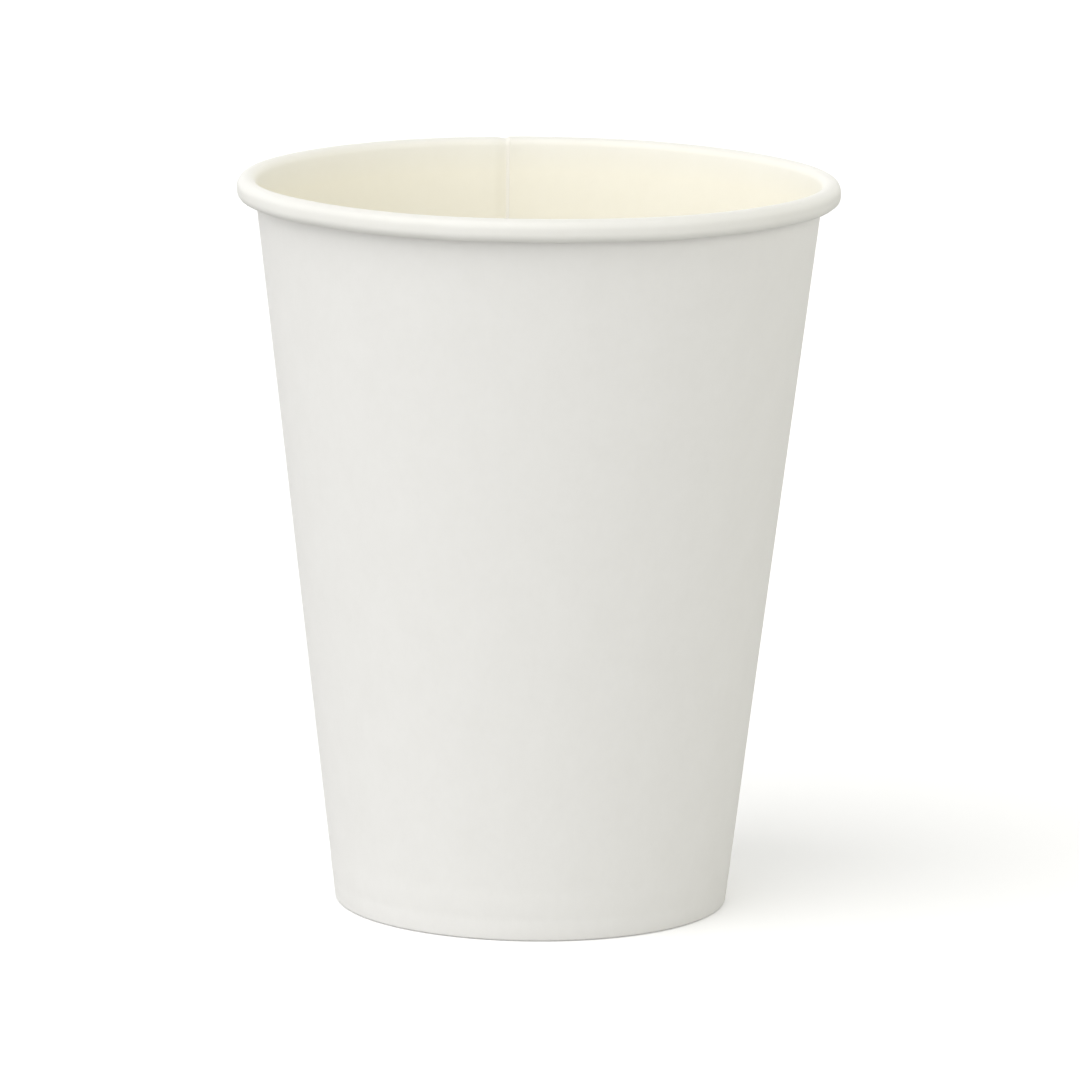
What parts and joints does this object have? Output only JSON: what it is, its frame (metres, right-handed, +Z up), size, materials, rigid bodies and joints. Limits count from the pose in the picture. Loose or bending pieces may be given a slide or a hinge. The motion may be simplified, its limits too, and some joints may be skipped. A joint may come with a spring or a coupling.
{
  "type": "paper cup",
  "caption": "Plain white single-wall paper cup for hot drinks, with a tapered wall, rolled rim, lapped side seam and a raised bottom gripped in the folded foot.",
  "frame": {"origin": "centre of the foot ring, on the surface the cup stands on", "axes": "+Z up the cup towards the open rim; +Y towards the side seam; +X to the right of someone who has the seam at the back"},
  "size_m": [0.09, 0.09, 0.11],
  "materials": {
    "sidewall_board": "uncoated-looking matte outside, satin plastic lining inside",
    "bottom_board": "matte board, satin plastic lining on the drink side"
  },
  "bodies": {
    "root": {"sidewall": "sidewall_board", "bottom_disc": "bottom_board"}
  },
  "joints": []
}
